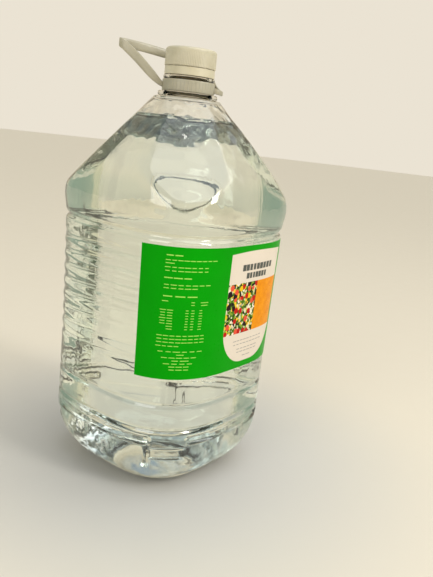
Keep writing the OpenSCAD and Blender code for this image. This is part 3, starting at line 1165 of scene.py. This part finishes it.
applyTree(
    carrier,
    ribsRound,
    {
        "Count": handle["ribs"],
        "Radius": handle["ribRadius"] * mm,
        "Rib depth": handle["ribDepth"] * mm,
        "Rib width": handle["ribWidth"] * mm,
        "Rib height": (handle["ringHeight"] - 1.4) * mm,
        "Rib top": 0.8,
        "Middle": (foot + handle["ringHeight"] / 2) * mm,
        "Material": handlePlastic,
    },
)
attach(carrier, "carrier")
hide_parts("handle")
print("handle", len(carrier.data.polygons))


# floor, light, camera
def floorWithPaintedShadow(start):
    place = start.add("ShaderNodeTexCoord", {}, {}, "Object")
    distance = start.add("ShaderNodeVectorMath", {"operation": "LENGTH"}, {0: place}, 1)
    fine = start.noise(place, 40, 4)
    # painted shadow: the floor is greyer and darker close round the bottle, fading to the pale floor
    # between about 0.07 and 0.3 m out
    near = distance.ramp(0.07, 0.3)
    return {
        "Base Color": near.blend(sRGB(206, 204, 198), sRGB(232, 222, 203)),
        "Roughness": fine.ramp(0.2, 0.8, 0.55, 0.7),
    }


floorPaper = newMaterial("floor_paper", {}, floorWithPaintedShadow)
angleFloor = np.linspace(0, 2 * math.pi, 64, endpoint=False)
reach = np.array([0.3, 1.0, 3.0, 8.0])
floorPoints = [(0, 0, 0)] + [
    (r * math.cos(t), r * math.sin(t), 0) for r in reach for t in angleFloor
]
floorFaces = tubeFaces(len(reach), 64, 1)
floorFaces = [f[::-1] for f in floorFaces]
floorFaces += [[0, 1 + k, 1 + (k + 1) % 64] for k in range(64)]
floor = makeObject("floor", floorPoints, floorFaces, [floorPaper])

camera = {
    "azimuth": -48.72,
    "distance": 533.65,
    "height": 274.58,
    "yaw": 4.177,
    "pitch": 13.449,
    "roll": 6.415,
    "lens": 41.39,
}
yaw, pitch, roll = (math.radians(camera[k]) for k in ("yaw", "pitch", "roll"))
forward = Vector((math.sin(yaw) * math.cos(pitch), math.cos(yaw) * math.cos(pitch), -math.sin(pitch)))
right = Vector((math.cos(yaw), -math.sin(yaw), 0))
upward = right.cross(forward)
localX = right * math.cos(roll) + upward * math.sin(roll)
localY = upward * math.cos(roll) - right * math.sin(roll)
basis = Matrix((localX, localY, -forward)).transposed().to_4x4()
turned = Matrix.Rotation(math.radians(camera["azimuth"]), 4, "Z")
spotAt = Matrix.Translation(Vector((0, -camera["distance"] * mm, camera["height"] * mm)))
lens = bpy.data.cameras.new("camera")
lens.sensor_width = 36
lens.sensor_fit = "AUTO"
lens.lens = camera["lens"]
viewer = bpy.data.objects.new("camera", lens)
scene.collection.objects.link(viewer)
viewer.matrix_world = turned @ spotAt @ basis
scene.camera = viewer


def softLight(name, place, aim, size, power, colour):
    data = bpy.data.lights.new(name, "AREA")
    data.shape = "RECTANGLE"
    data.size, data.size_y = size
    data.energy = power
    data.color = colour
    obj = bpy.data.objects.new(name, data)
    scene.collection.objects.link(obj)
    obj.location = place
    obj.rotation_euler = (Vector(aim) - Vector(place)).to_track_quat("-Z", "Y").to_euler()


softLight("key", (0.2, -1.5, 1.1), (0, 0, 0.2), (0.35, 0.9), 12, (1.0, 0.97, 0.92))
softLight("fill", (-1.6, -0.3, 0.9), (0, 0, 0.15), (1.0, 1.2), 8, (0.95, 0.98, 1.0))
sky = bpy.data.lights.new("sky", "SUN")
sky.energy = 1.15
sky.angle = 1.2
overhead = bpy.data.objects.new("sky", sky)
scene.collection.objects.link(overhead)
overhead.rotation_euler = (0.35, 0.25, 0)

world = bpy.data.worlds.new("room")
scene.world = world
world.use_nodes = True
world.node_tree.nodes.clear()
start = Wire(world.node_tree)
direction = start.add("ShaderNodeTexCoord", {}, {}, "Generated")
parts = start.add("ShaderNodeSeparateXYZ", {}, {0: direction})
upShare = Wire(start.tree, parts.socket.node.outputs[2])
warm = upShare.ramp(0.5, 0.9).blend(sRGB(232, 218, 190), sRGB(142, 160, 178))
sideways = abs(
    start.add(
        "ShaderNodeVectorMath",
        {"operation": "DOT_PRODUCT"},
        {0: direction, 1: (math.cos(turned.to_euler().z), math.sin(turned.to_euler().z), 0)},
        1,
    )
)
shaded = sideways.ramp(0.55, 0.9) * upShare.ramp(0.25, 0.6, 1, 0) * 0.8
room = shaded.blend(warm, sRGB(104, 142, 130))
seen = start.add("ShaderNodeLightPath")
room = seen.blend(room, sRGB(238, 230, 214))  # plain and pale where the camera sees it
glow = start.add("ShaderNodeBackground", {}, {"Color": room, "Strength": 0.97})
out = world.node_tree.nodes.new("ShaderNodeOutputWorld")
world.node_tree.links.new(glow.socket, out.inputs["Surface"])
if hasattr(scene, "cycles"):
    scene.cycles.max_bounces = 24
    scene.cycles.transmission_bounces = 24
print("stage and camera")
